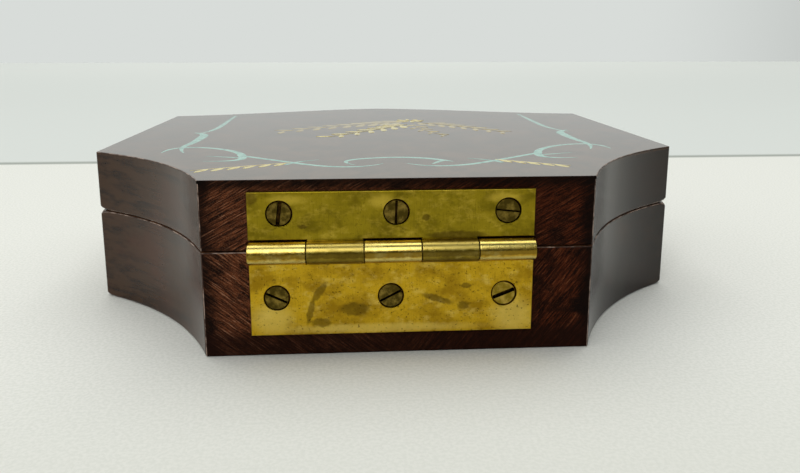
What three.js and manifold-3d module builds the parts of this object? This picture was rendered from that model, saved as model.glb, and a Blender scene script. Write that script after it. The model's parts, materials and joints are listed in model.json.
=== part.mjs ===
// Hinged wooden puzzle box with a shaped plan, a brass butt hinge and a hidden slide latch.
// Millimetres, +Z up. The origin is on the underside at the middle of the wooden footprint.
// The hinge is on the -Y side, the serpentine front on the +Y side, and left and right are
// as seen from the hinge side, so left is -X.

import * as THREE from 'three';
import Module from 'manifold-3d';
import { mergeVertices } from 'three/addons/utils/BufferGeometryUtils.js';

const wasm = await Module();
wasm.setup();

// ---------------------------------------------------------------- driving dimensions

// Plan of the wooden case
const WIDTH = 125;
const DEPTH = 126;
const HINGE_FACE = 69;          // width of the flat face that carries the hinge
const SCOOP_DEPTH = 33.5;       // how far each hollow corner runs towards the front
const SCOOP_SAG = 3.6;          // how deep each hollow corner is below its chord
const FRONT_RISE = 20.5;        // how far the front swells from its corners to its middle
const FRONT_SWELL = 0.6;        // 0 makes the front two straight lines, 1 a full S curve
const CURVE_STEPS = 6;          // facets in each scoop and in each half of the front

// Heights
const BASE_HEIGHT = 19.2;
const SEAM_GAP = 0.3;
const TOTAL_HEIGHT = 32;
const VENEER = 0.6;
const BOARD = 3;                // floor and lid panel
const LINING = 1;

// Walls
const WALL = 8;
const REBATE = 4;               // how far floor and panel run under the walls
const FIT = 0.2;                // gap round a piece let into its neighbour

// Butt hinge
const LEAF_LENGTH = 49.8;
const LEAF_CENTRE_X = -1.3;
const LEAF_THICK = 1;
const BASE_LEAF_DROP = 15.15;   // from the pin axis to the outer edge of the base leaf
const LID_LEAF_RISE = 10.65;    // from the pin axis to the outer edge of the trimmed lid leaf
const KNUCKLES = 5;
const KNUCKLE_RADIUS = 2;
const KNUCKLE_GAP = 0.3;
const PIN_RADIUS = 1;
const PIN_BORE = 1.09;
const AXIS_OUT = 1.3;           // pin axis in front of the wooden hinge face
const AXIS_Z = BASE_HEIGHT + SEAM_GAP / 2;

// Hinge screws
const HEAD_RADIUS = 2.1;
const SHANK_RADIUS = 1.1;
const SCREW_LENGTH = 7.2;
const SLOT_WIDTH = 0.7;
const SLOT_DEPTH = 0.7;

// Hidden latch in the front wall
const LATCH_TRAVEL = 6;
const LATCH_Y = 54;
const SLIDE_LENGTH = 24;
const LATCH_PIN_RADIUS = 1.1;
const LATCH_HEAD_RADIUS = 2;
const KEEPER_THICK = 1.2;

// ---------------------------------------------------------------- derived places

const BACK_Y = -DEPTH / 2;
const LID_BOTTOM = BASE_HEIGHT + SEAM_GAP;
const RAIL_TOP = TOTAL_HEIGHT - VENEER;
const AXIS_Y = BACK_Y - AXIS_OUT;
const THICK_FRONT_Y = LATCH_Y - 5.1;   // inner face of the front where the latch thickens it
const FLOOR_FRONT_Y = LATCH_Y - 2;     // the floor stops here and holds up the slide's foot

// ---------------------------------------------------------------- materials

function paint(color, roughness, metalness = 0) {
  return new THREE.MeshStandardMaterial({ color, roughness, metalness });
}

const BARE_WOOD = paint('#3a221d', 0.8);
const LACQUERED = paint('#3d2822', 0.18);
const VENEERED = paint('#4a342e', 0.12);
const PLAIN_WOOD = paint('#6b4a35', 0.6);
const BRASS = paint('#a8873a', 0.38, 1);
const BRIGHT_BRASS = paint('#bb9b52', 0.34, 1);
const FELT = paint('#5a1d22', 0.95);

// ---------------------------------------------------------------- solids

// A closed three.js geometry as a solid that can be cut and joined.
function solid(geometry) {
  geometry.deleteAttribute('normal');
  geometry.deleteAttribute('uv');
  const merged = mergeVertices(geometry, 1e-4);
  return new wasm.Manifold(new wasm.Mesh({
    numProp: 3,
    vertProperties: Float32Array.from(merged.attributes.position.array),
    triVerts: Uint32Array.from(merged.index.array),
  }));
}

function prism(points, low, high) {
  const geometry = new THREE.ExtrudeGeometry(new THREE.Shape(points), {
    depth: high - low,
    bevelEnabled: false,
  });
  geometry.translate(0, 0, low);
  return solid(geometry);
}

function block(x, y, z) {
  const geometry = new THREE.BoxGeometry(x[1] - x[0], y[1] - y[0], z[1] - z[0]);
  geometry.translate((x[0] + x[1]) / 2, (y[0] + y[1]) / 2, (z[0] + z[1]) / 2);
  return solid(geometry);
}

// A round bar along X, centred on the given line.
function barX(radius, x, y, z, sides = 24) {
  const geometry = new THREE.CylinderGeometry(radius, radius, x[1] - x[0], sides);
  geometry.rotateZ(Math.PI / 2);
  geometry.translate((x[0] + x[1]) / 2, y, z);
  return solid(geometry);
}

// A body turned about +Z from [radius, height] pairs that start and end on the axis.
function turned(profile, sides = 16) {
  const geometry = new THREE.LatheGeometry(profile.map(([r, h]) => new THREE.Vector2(r, h)), sides);
  geometry.rotateX(Math.PI / 2);
  return solid(geometry);
}

function cylinder(radius, low, high, sides = 16) {
  return turned([[0, low], [radius, low], [radius, high], [0, high]], sides);
}

// A flat bar with round ends along X, from one end's centre to the other's.
function roundEnded(radius, x, y, z) {
  const ends = [cylinder(radius, ...z).translate([x[0], y, 0]), cylinder(radius, ...z).translate([x[1], y, 0])];
  return block(x, [y - radius, y + radius], z).add(ends[0]).add(ends[1]);
}

const box = new THREE.Group();

function piece(name, shape, material) {
  const { vertProperties, triVerts } = shape.getMesh();
  const geometry = new THREE.BufferGeometry();
  geometry.setAttribute('position', new THREE.BufferAttribute(Float32Array.from(vertProperties), 3));
  geometry.setIndex(new THREE.BufferAttribute(Uint32Array.from(triVerts), 1));
  geometry.computeVertexNormals();
  const mesh = new THREE.Mesh(geometry, material);
  mesh.name = name;
  box.add(mesh);
}

// ---------------------------------------------------------------- plan of the case

// The right-hand half of the outline, from the hinge face to the middle of the front.
function rightHalf() {
  const start = new THREE.Vector2(HINGE_FACE / 2, BACK_Y);
  const end = new THREE.Vector2(WIDTH / 2, BACK_Y + SCOOP_DEPTH);
  const chord = end.clone().sub(start);
  const radius = (chord.lengthSq() / 4 + SCOOP_SAG ** 2) / (2 * SCOOP_SAG);
  const outward = new THREE.Vector2(chord.y, -chord.x).normalize();
  const centre = start.clone().add(end).multiplyScalar(0.5);
  centre.addScaledVector(outward, radius - SCOOP_SAG);

  const points = [];
  const from = start.clone().sub(centre).angle();
  const sweep = end.clone().sub(centre).angle() - from;
  for (let i = 0; i <= CURVE_STEPS; i++) {
    const angle = from + sweep * i / CURVE_STEPS;
    points.push(new THREE.Vector2(Math.cos(angle), Math.sin(angle)).multiplyScalar(radius).add(centre));
  }
  const corner = DEPTH / 2 - FRONT_RISE;
  for (let i = 0; i <= CURVE_STEPS; i++) {
    const t = i / CURVE_STEPS;
    const swell = (1 - FRONT_SWELL) * t + FRONT_SWELL * t * t * (3 - 2 * t);
    points.push(new THREE.Vector2(WIDTH / 2 * (1 - t), corner + FRONT_RISE * swell));
  }
  return points;
}

const half = rightHalf();
const OUTLINE = [...half, ...half.slice(0, -1).reverse().map((p) => new THREE.Vector2(-p.x, p.y))];

// The outline moved in by a distance, point for point, and held behind an optional front line.
function plan(inset, frontLimit = Infinity) {
  const count = OUTLINE.length;
  return OUTLINE.map((point, i) => {
    const before = point.clone().sub(OUTLINE[(i + count - 1) % count]).normalize();
    const after = OUTLINE[(i + 1) % count].clone().sub(point).normalize();
    const inward = new THREE.Vector2(-before.y - after.y, before.x + after.x).normalize();
    const moved = point.clone().addScaledVector(inward, inset / (before.x * inward.y - before.y * inward.x));
    moved.y = Math.min(moved.y, frontLimit);
    return moved;
  });
}

// Corners of the case as places in the outline, counter-clockwise from the right of the hinge face.
const LAST = OUTLINE.length - 1;
const RUNS = {
  scoop_right: [0, CURVE_STEPS],
  side_right: [CURVE_STEPS, CURVE_STEPS + 1],
  front: [CURVE_STEPS + 1, 3 * CURVE_STEPS + 1],
  side_left: [3 * CURVE_STEPS + 1, 3 * CURVE_STEPS + 2],
  scoop_left: [3 * CURVE_STEPS + 2, LAST],
};

// One mitred length of wall between two corners of the case.
function wall(run, low, high) {
  const outer = OUTLINE.slice(run[0], run[1] + 1);
  const inner = plan(WALL, THICK_FRONT_Y).slice(run[0], run[1] + 1).reverse();
  return prism([...outer, ...inner], low, high);
}

function backWall(low, high) {
  const inner = plan(WALL, THICK_FRONT_Y);
  return prism([OUTLINE[LAST], OUTLINE[0], inner[0], inner[LAST]], low, high);
}

// ---------------------------------------------------------------- hinge

const LEAF_X = [LEAF_CENTRE_X - LEAF_LENGTH / 2, LEAF_CENTRE_X + LEAF_LENGTH / 2];
const KNUCKLE_PITCH = LEAF_LENGTH / KNUCKLES;

// Screw places as [name, x along the case, height, angle of the slot from upright].
const BASE_SCREWS = [
  ['base_screw_left', -21.6, 11.1, 65],
  ['base_screw_middle', -1.7, 11.1, 118],
  ['base_screw_right', 18.4, 11.1, 112],
];
const LID_SCREWS = [
  ['lid_screw_left', -20.8, 26.2, 173],
  ['lid_screw_middle', -0.7, 26.2, 178],
  ['lid_screw_right', 18.8, 26.2, 84],
];

function knuckleSpan(index) {
  const start = LEAF_X[0] + index * KNUCKLE_PITCH;
  const low = index === 0 ? start : start + KNUCKLE_GAP / 2;
  const high = index === KNUCKLES - 1 ? start + KNUCKLE_PITCH : start + KNUCKLE_PITCH - KNUCKLE_GAP / 2;
  return [low, high];
}

// Countersunk slotted screw with its face at z = 0 and its point down -Z.
function screw(headRadius, shankRadius, length, slotAngle) {
  const cone = headRadius - shankRadius;
  const body = turned([
    [0, -length], [shankRadius * 0.35, -length + 0.6], [shankRadius, -length + 2.2],
    [shankRadius, -cone - 0.15], [headRadius, -0.15], [headRadius, 0], [0, 0],
  ]);
  const slot = block([-headRadius - 1, headRadius + 1], [-SLOT_WIDTH / 2, SLOT_WIDTH / 2], [-SLOT_DEPTH, 1]);
  return body.subtract(slot.rotate([0, 0, slotAngle]));
}

// The space that such a screw takes, with a gap all round.
function screwSpace(headRadius, shankRadius, length, gap) {
  const head = headRadius + gap;
  const shank = shankRadius + gap;
  return turned([
    [0, -length - gap], [shank, -length - gap], [shank, -(head - shank) - 0.15], [head, -0.15], [head, 2], [0, 2],
  ]);
}

// A shape whose face looks up +Z, turned so that it looks out of the hinge face.
function onHingeFace(shape, x, z) {
  return shape.rotate([90, 0, 0]).translate([x, BACK_Y - LEAF_THICK, z]);
}

// One leaf: a flat plate and every second knuckle. side is 1 above the pin and -1 below it.
function leaf(side, reach, owned, screws) {
  const near = AXIS_Z + side * (PIN_RADIUS + 0.25);
  const far = AXIS_Z + side * reach;
  const y = [BACK_Y - LEAF_THICK, BACK_Y];
  let shape = block(LEAF_X, y, [Math.min(near, far), Math.max(near, far)]);
  for (let i = 0; i < KNUCKLES; i++) {
    const [low, high] = knuckleSpan(i);
    if (owned(i)) {
      shape = shape.add(barX(KNUCKLE_RADIUS, [low, high], AXIS_Y, AXIS_Z));
    } else {
      const clear = [low - KNUCKLE_GAP, high + KNUCKLE_GAP];
      shape = shape.subtract(barX(KNUCKLE_RADIUS + 0.35, clear, AXIS_Y, AXIS_Z));
    }
  }
  shape = shape.subtract(barX(PIN_BORE, [LEAF_X[0] - 1, LEAF_X[1] + 1], AXIS_Y, AXIS_Z));
  for (const [, x, z] of screws) {
    shape = shape.subtract(onHingeFace(screwSpace(HEAD_RADIUS, SHANK_RADIUS, SCREW_LENGTH, 0.1), x, z));
  }
  return shape;
}

const isBaseKnuckle = (i) => i % 2 === 0;
const isLidKnuckle = (i) => i % 2 === 1;
piece('hinge_leaf_base', leaf(-1, BASE_LEAF_DROP, isBaseKnuckle, BASE_SCREWS), BRIGHT_BRASS);
piece('hinge_leaf_lid', leaf(1, LID_LEAF_RISE, isLidKnuckle, LID_SCREWS), BRASS);
piece('hinge_pin', barX(PIN_RADIUS, LEAF_X, AXIS_Y, AXIS_Z), BRASS);

for (const [name, x, z, slot] of [...BASE_SCREWS, ...LID_SCREWS]) {
  piece(name, onHingeFace(screw(HEAD_RADIUS, SHANK_RADIUS, SCREW_LENGTH, slot), x, z), BRASS);
}

// Wood cut away behind the knuckles, and the pilot holes of a row of screws.
function cutForHinge(shape, screws) {
  const relief = barX(KNUCKLE_RADIUS + 0.3, [LEAF_X[0] - 0.8, LEAF_X[1] + 0.8], AXIS_Y, AXIS_Z);
  let cut = shape.subtract(relief);
  for (const [, x, z] of screws) {
    cut = cut.subtract(onHingeFace(cylinder(SHANK_RADIUS + 0.1, -SCREW_LENGTH - 0.1, 1), x, z));
  }
  return cut;
}

// ---------------------------------------------------------------- base

const floorSpace = prism(plan(REBATE - FIT, FLOOR_FRONT_Y + FIT), -1, BOARD + FIT);

for (const name of ['scoop_right', 'side_right', 'side_left', 'scoop_left']) {
  piece(`base_${name}`, wall(RUNS[name], 0, BASE_HEIGHT).subtract(floorSpace), LACQUERED);
}
piece('base_back_wall', cutForHinge(backWall(0, BASE_HEIGHT), BASE_SCREWS).subtract(floorSpace), BARE_WOOD);
piece('base_floor', prism(plan(REBATE, FLOOR_FRONT_Y), 0, BOARD), PLAIN_WOOD);
piece('base_lining', prism(plan(WALL + 0.5, THICK_FRONT_Y - 0.5), BOARD + FIT, BOARD + FIT + LINING), FELT);

// The front wall holds the latch: a groove for the slide, open below, and a slot for the pin.
const GROOVE_TOP = 6.5;
const SLIDE_X = [-SLIDE_LENGTH / 2, SLIDE_LENGTH / 2];
const SLIDE_Y = [LATCH_Y - 3.3, LATCH_Y + 2.1];
const SLIDE_GAP = 0.3;
const groove = block(
  [SLIDE_X[0] - 0.5, SLIDE_X[1] + LATCH_TRAVEL + 0.5],
  [SLIDE_Y[0] - SLIDE_GAP, SLIDE_Y[1] + SLIDE_GAP],
  [-1, GROOVE_TOP],
);
const pinSlot = roundEnded(LATCH_PIN_RADIUS + 0.4, [0, LATCH_TRAVEL], LATCH_Y, [GROOVE_TOP - 1, BASE_HEIGHT + 1]);
piece(
  'base_front_wall',
  wall(RUNS.front, 0, BASE_HEIGHT).subtract(floorSpace).subtract(groove).subtract(pinSlot),
  LACQUERED,
);

// ---------------------------------------------------------------- latch

// The slide is L-shaped: its foot rides on the edge of the floor, its tongue fills the groove.
const SLIDE_TOP = GROOVE_TOP - SLIDE_GAP;
const foot = block(SLIDE_X, [SLIDE_Y[0], LATCH_Y - 1], [BOARD + SLIDE_GAP, SLIDE_TOP]);
const tongue = block(SLIDE_X, [FLOOR_FRONT_Y + FIT + SLIDE_GAP, SLIDE_Y[1]], [0.4, SLIDE_TOP]);
const nailNotch = cylinder(3, LATCH_Y - 9, LATCH_Y + 9, 24).rotate([-90, 0, 0]).translate([0, 0, -1.4]);
const pinHole = cylinder(LATCH_PIN_RADIUS + 0.1, BOARD, BASE_HEIGHT).translate([0, LATCH_Y, 0]);
piece('latch_slide', foot.add(tongue).subtract(nailNotch).subtract(pinHole), PLAIN_WOOD);

const PIN_FOOT = BOARD + 0.2;
const HEAD_TOP = LID_BOTTOM + 4.9;
const latchPin = turned([
  [0, PIN_FOOT], [LATCH_PIN_RADIUS, PIN_FOOT], [LATCH_PIN_RADIUS, HEAD_TOP - 1.3],
  [LATCH_HEAD_RADIUS, HEAD_TOP - 1.3], [LATCH_HEAD_RADIUS, HEAD_TOP - 0.5],
  [LATCH_HEAD_RADIUS - 0.6, HEAD_TOP], [0, HEAD_TOP],
]);
piece('latch_pin', latchPin.translate([0, LATCH_Y, 0]), BRASS);

// ---------------------------------------------------------------- lid

const panelSpace = prism(plan(REBATE - FIT), RAIL_TOP - BOARD - FIT, RAIL_TOP + 1);

for (const name of ['scoop_right', 'side_right', 'side_left', 'scoop_left']) {
  piece(`lid_${name}`, wall(RUNS[name], LID_BOTTOM, RAIL_TOP).subtract(panelSpace), LACQUERED);
}
piece('lid_back_rail', cutForHinge(backWall(LID_BOTTOM, RAIL_TOP), LID_SCREWS).subtract(panelSpace), BARE_WOOD);
piece('lid_panel', prism(plan(REBATE), RAIL_TOP - BOARD, RAIL_TOP), PLAIN_WOOD);
piece('lid_veneer', prism(OUTLINE, RAIL_TOP, TOTAL_HEIGHT), VENEERED);

// The keeper is let flush into the front rail. The pin's head enters its round hole, and the
// slide carries the pin's neck along the narrow slot, which is too small for the head.
const KEEPER_X = [-9, 15];
const KEEPER_Y = [LATCH_Y - 3.1, LATCH_Y + 3.1];
const KEEPER_Z = [LID_BOTTOM, LID_BOTTOM + KEEPER_THICK];
const KEEPER_SCREWS = [['keeper_screw_left', -6.2, 35], ['keeper_screw_right', 12.2, 80]];
const KEEPER_HEAD = 1.8;
const KEEPER_SHANK = 0.8;
const KEEPER_SCREW_LENGTH = 6;

// A shape whose face looks up +Z, turned so that it looks down out of the lid's underside.
function underLid(shape, x) {
  return shape.rotate([180, 0, 0]).translate([x, LATCH_Y, LID_BOTTOM]);
}

let keeper = block(KEEPER_X, KEEPER_Y, KEEPER_Z);
keeper = keeper.subtract(cylinder(LATCH_HEAD_RADIUS + 0.6, 0, TOTAL_HEIGHT, 24).translate([0, LATCH_Y, 0]));
keeper = keeper.subtract(roundEnded(LATCH_PIN_RADIUS + 0.35, [0, LATCH_TRAVEL], LATCH_Y, [0, TOTAL_HEIGHT]));

let frontRail = wall(RUNS.front, LID_BOTTOM, RAIL_TOP).subtract(panelSpace);
frontRail = frontRail.subtract(block(
  [KEEPER_X[0] - FIT, KEEPER_X[1] + FIT],
  [KEEPER_Y[0] - FIT, KEEPER_Y[1] + FIT],
  [LID_BOTTOM - 1, KEEPER_Z[1] + FIT],
));
frontRail = frontRail.subtract(block(
  [-LATCH_HEAD_RADIUS - 1, LATCH_TRAVEL + LATCH_HEAD_RADIUS + 1],
  [LATCH_Y - LATCH_HEAD_RADIUS - 0.9, LATCH_Y + LATCH_HEAD_RADIUS + 0.9],
  [LID_BOTTOM, HEAD_TOP + 1.2],
));
for (const [name, x, slot] of KEEPER_SCREWS) {
  keeper = keeper.subtract(underLid(screwSpace(KEEPER_HEAD, KEEPER_SHANK, KEEPER_SCREW_LENGTH, 0.1), x));
  frontRail = frontRail.subtract(
    underLid(cylinder(KEEPER_SHANK + 0.1, -KEEPER_SCREW_LENGTH - 0.1, 1), x),
  );
  piece(name, underLid(screw(KEEPER_HEAD, KEEPER_SHANK, KEEPER_SCREW_LENGTH, slot), x), BRASS);
}
piece('keeper_plate', keeper, BRASS);
piece('lid_front_rail', frontRail, LACQUERED);

export default box;
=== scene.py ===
"""Looks for the hinged wooden puzzle box: lacquered case, bare hinge face, brass hinge and inlaid lid."""

import json
import math
import random

import bmesh
import bpy
from bpy.props import FloatProperty, FloatVectorProperty, PointerProperty
from mathutils import Euler, Matrix, Vector


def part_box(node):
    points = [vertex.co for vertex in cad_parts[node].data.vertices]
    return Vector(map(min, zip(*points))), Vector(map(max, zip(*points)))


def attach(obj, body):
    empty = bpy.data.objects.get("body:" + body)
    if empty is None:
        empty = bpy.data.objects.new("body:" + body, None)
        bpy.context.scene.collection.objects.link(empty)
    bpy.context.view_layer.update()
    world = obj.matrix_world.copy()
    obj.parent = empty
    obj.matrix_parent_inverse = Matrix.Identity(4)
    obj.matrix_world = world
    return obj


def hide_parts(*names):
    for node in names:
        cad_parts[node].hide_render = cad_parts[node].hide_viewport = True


bl_info = {
    "name": "Inlaid puzzle box",
    "version": (1, 0, 0),
    "blender": (4, 5, 0),
    "location": "View3D > Sidebar > Puzzle Box",
    "description": "Builds a hinged, inlaid wooden puzzle box round its frame",
    "category": "Add Mesh",
}

MM = 0.001
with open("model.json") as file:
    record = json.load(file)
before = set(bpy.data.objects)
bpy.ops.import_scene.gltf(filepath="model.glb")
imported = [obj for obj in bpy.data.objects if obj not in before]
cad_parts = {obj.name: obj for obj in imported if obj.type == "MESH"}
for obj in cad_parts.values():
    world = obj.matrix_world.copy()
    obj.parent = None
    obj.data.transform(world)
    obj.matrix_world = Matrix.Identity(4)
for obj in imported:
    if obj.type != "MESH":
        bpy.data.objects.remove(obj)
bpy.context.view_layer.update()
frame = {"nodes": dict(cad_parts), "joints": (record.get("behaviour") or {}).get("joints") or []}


# ------------ places taken from the frame

def low(node):
    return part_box(node)[0]


def high(node):
    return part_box(node)[1]


def middle(node):
    return (low(node) + high(node)) / 2


BACK = low("base_back_wall").y
HALF_HINGE_FACE = high("base_back_wall").x
HALF_WIDTH = high("lid_veneer").x
SCOOP_END = low("base_side_right").y
FRONT_CORNER = high("base_side_right").y
FRONT_TIP = high("lid_veneer").y
WALL = high("base_back_wall").y - BACK
SEAM_LOW = high("base_back_wall").z
SEAM_HIGH = low("lid_back_rail").z
RAIL_TOP = high("lid_back_rail").z
TOP = high("lid_veneer").z
FLOOR_TOP = high("base_floor").z
PANEL_LOW = low("lid_panel").z
REBATE = HALF_WIDTH - high("base_floor").x

PIN = middle("hinge_pin")
LEAF_LEFT = low("hinge_leaf_base").x
LEAF_RIGHT = high("hinge_leaf_base").x
KNUCKLE_RADIUS = PIN.y - low("hinge_leaf_base").y
PIN_RADIUS = high("hinge_pin").y - PIN.y
LEAF_FACE = low("base_screw_left").y
LATCH_REACH = next(joint for joint in frame["joints"] if joint["name"] == "latch_travel")["range_m"][1]

THICK_FRONT = high("base_lining").y + 0.5 * MM  # inner face of the front, thicker round the latch
REBATE_FIT = 0.2 * MM
SCOOP_SAG = 3.6 * MM
FRONT_RISE = FRONT_TIP - FRONT_CORNER
FRONT_SWELL = 0.6
KNUCKLES = 5
CHAMFER = 0.3 * MM
STRIP_STEP = 0.001 * MM

STATION_PITCH = 1.6 * MM        # between the sections of a wall
OUTER_BAND = 2.2 * MM           # faces closer than this to the outline count as outer ones
HAIR = 0.001 * MM               # two places closer than this count as one
SHARP_ANGLE = math.radians(35)  # edges flatter than this are shaded smooth
ROUND_STEPS = 48


# ------------ what a user would change

class PuzzleBoxSizes(bpy.types.PropertyGroup):
    """Radii of the wood's edges, and the height of the inlay"""
    corner: FloatProperty(
        name="Corner", description="Radius of the upright corners", default=0.55 * MM, unit="LENGTH")
    arris: FloatProperty(
        name="Arris", description="Radius of the eased edges along the seam", default=0.22 * MM,
        unit="LENGTH")
    worn_arris: FloatProperty(
        name="Worn arris", description="Extra radius where the corners stick out", default=0.95 * MM,
        unit="LENGTH")
    inlay_rise: FloatProperty(
        name="Inlay rise", description="How far the inlay stands above the veneer", default=0.012 * MM,
        unit="LENGTH")


class PuzzleBoxColours(bpy.types.PropertyGroup):
    """Colours of the box"""
    lacquer: FloatVectorProperty(
        name="Lacquered wood", description="Brown under the lacquer", subtype="COLOR", size=3,
        default=(0.046, 0.021, 0.009))


# ------------ colour and nodes

def colour(code):
    """A linear RGBA colour from an sRGB hex code."""
    channels = [int(code[i:i + 2], 16) / 255 for i in (1, 3, 5)]
    linear = [c / 12.92 if c <= 0.04045 else ((c + 0.055) / 1.055) ** 2.4 for c in channels]
    return (*linear, 1.0)


def add_node(tree, kind, inputs=None, out=0, **settings):
    """Adds a node, each input set to a value or linked to an output, and gives one of its outputs."""
    node = tree.nodes.new(kind)
    for name, value in settings.items():
        setattr(node, name, value)
    for socket, value in (inputs or {}).items():
        if isinstance(value, bpy.types.NodeSocket):
            tree.links.new(value, node.inputs[socket])
        else:
            node.inputs[socket].default_value = value
    return node.outputs[out] if node.outputs else None


def figure(tree, size, turn=(0, 0, 0), detail=3, roughness=0.55, distortion=0.0):
    """A cloudy pattern fixed to the piece, turned by degrees, its cells a size in mm along X, Y and Z."""
    place = add_node(tree, "ShaderNodeTexCoord", out="Object")
    turned = add_node(tree, "ShaderNodeMapping", {
        "Vector": place, "Rotation": [math.radians(angle) for angle in turn]})
    squeezed = add_node(tree, "ShaderNodeMapping", {
        "Vector": turned, "Scale": [1 / (cell * MM) for cell in size]})
    return add_node(tree, "ShaderNodeTexNoise", {
        "Vector": squeezed, "Scale": 1.0, "Detail": detail, "Roughness": roughness,
        "Distortion": distortion}, out="Fac")


def painted(tree, base, tint, pattern, start, end, strength=1.0, mode="MIX"):
    """Lays a tint over a base wherever a pattern rises from start to end. Both may be hex codes."""
    base, tint = [colour(shade) if isinstance(shade, str) else shade for shade in (base, tint)]
    cover = add_node(tree, "ShaderNodeMapRange", {
        "Value": pattern, "From Min": start, "From Max": end, "To Min": 0.0, "To Max": strength},
        interpolation_type="SMOOTHSTEP")
    return add_node(tree, "ShaderNodeMix", {0: cover, 6: base, 7: tint}, out=2,
                    data_type="RGBA", blend_type=mode)


def layered(tree, base, *layers):
    """Lays tints over a base in turn, each layer as painted takes it: (tint, pattern, start, end...)."""
    for layer in layers:
        base = painted(tree, base, *layer)
    return base


def coordinate(tree, axis):
    """A place on the piece along one axis, in metres."""
    place = add_node(tree, "ShaderNodeTexCoord", out="Object")
    return add_node(tree, "ShaderNodeSeparateXYZ", {0: place}, out=axis)


def spot(tree, x, z, half_width, half_height, lean=0):
    """1 at a place on the hinge face, in mm, falling to 0 at the rim of an uneven ellipse round it.

    The ellipse leans right by some degrees."""
    place = add_node(tree, "ShaderNodeTexCoord", out="Object")
    ragged = add_node(tree, "ShaderNodeTexNoise", {"Vector": place, "Scale": 1 / (0.8 * MM)}, out="Color")
    centred = add_node(tree, "ShaderNodeVectorMath", {0: ragged, 1: [0.5] * 3}, operation="SUBTRACT")
    shifted = add_node(tree, "ShaderNodeVectorMath", {0: centred, 1: [0.7 * MM] * 3, 2: place},
                       operation="MULTIPLY_ADD")
    moved = add_node(tree, "ShaderNodeMapping", {
        "Vector": shifted, "Location": (x * MM, 0, z * MM), "Rotation": (0, math.radians(lean), 0),
        "Scale": (half_width * MM, 1.0, half_height * MM)}, vector_type="TEXTURE")
    return add_node(tree, "ShaderNodeTexGradient", {"Vector": moved}, out="Fac",
                    gradient_type="SPHERICAL")


def new_tree(name):
    """An empty node material, and its tree."""
    material = bpy.data.materials.new(name)
    material.use_nodes = True
    material.node_tree.nodes.clear()
    return material, material.node_tree


def surfaced(material, base, relief=None, depth=0.0, **sockets):
    """Ends a material with its shader, its relief raised by a depth in millimetres, and gives it back."""
    tree = material.node_tree
    inputs = {"Base Color": base}
    for name, value in sockets.items():
        inputs[name.replace("_", " ")] = value
    if relief is not None:
        inputs["Normal"] = add_node(tree, "ShaderNodeBump", {"Height": relief, "Distance": depth * MM})
    shader = add_node(tree, "ShaderNodeBsdfPrincipled", inputs)
    add_node(tree, "ShaderNodeOutputMaterial", {"Surface": shader})
    return material


# ------------ materials

def mahogany_lacquered(name, turn, painted_shade=0.0):
    """Mahogany, stained and brush lacquered: near-black brown streaks under an even satin gloss."""
    material, tree = new_tree(name)
    streaks = figure(tree, (40, 1.4, 1.4), (0, 0, -turn), detail=5, roughness=0.62)
    cloud = figure(tree, (16, 12, 9), detail=2)
    pores = figure(tree, (3.2, 0.22, 0.22), (0, 0, -turn), detail=2)
    base = layered(
        tree, (*bpy.context.scene.puzzle_box_colours.lacquer, 1),
        ("#1d0f07", streaks, 0.42, 0.68, 0.85),
        ("#4a2614", cloud, 0.45, 0.72, 0.5),
        ("#5c3a24", pores, 0.62, 0.76, 0.35),
        # painted shade: darker cloudy patches, for a wall that faces away from the light
        ("#0d0906", cloud, 0.2, 0.5, painted_shade))
    ripple = figure(tree, (7, 7, 7), detail=2)
    return surfaced(material, base, ripple, 0.04, Roughness=0.2, Specular_IOR_Level=0.18,
                    Sheen_Weight=0.08, Sheen_Roughness=0.25)


def veneer_lacquered(name):
    """Dark burr veneer under polished lacquer: soft cloudy figure, mirror-like at a low angle."""
    material, tree = new_tree(name)
    burr = figure(tree, (6, 6, 6), detail=4, roughness=0.62, distortion=0.9)
    flecks = figure(tree, (3.2, 0.5, 1), detail=4, roughness=0.7)
    base = layered(tree, "#33211a", ("#50372a", burr, 0.38, 0.68), ("#1a0f0a", flecks, 0.55, 0.78, 0.6))
    pores = figure(tree, (1.6, 0.7, 1), detail=4, roughness=0.7)
    return surfaced(material, base, pores, 0.006, Roughness=0.14, Specular_IOR_Level=0.5)


def lacquer_worn_and_highlit(name):
    """Lacquer worn through along an arris: a broken pale line, part wear and part painted highlight."""
    material, tree = new_tree(name)
    patches = figure(tree, (2.6, 2.6, 2.6), detail=5, roughness=0.7)
    base = painted(tree, "#3a251c", "#a38d80", patches, 0.42, 0.6)
    return surfaced(material, base, patches, 0.03, Roughness=0.5, Specular_IOR_Level=0.3)


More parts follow.
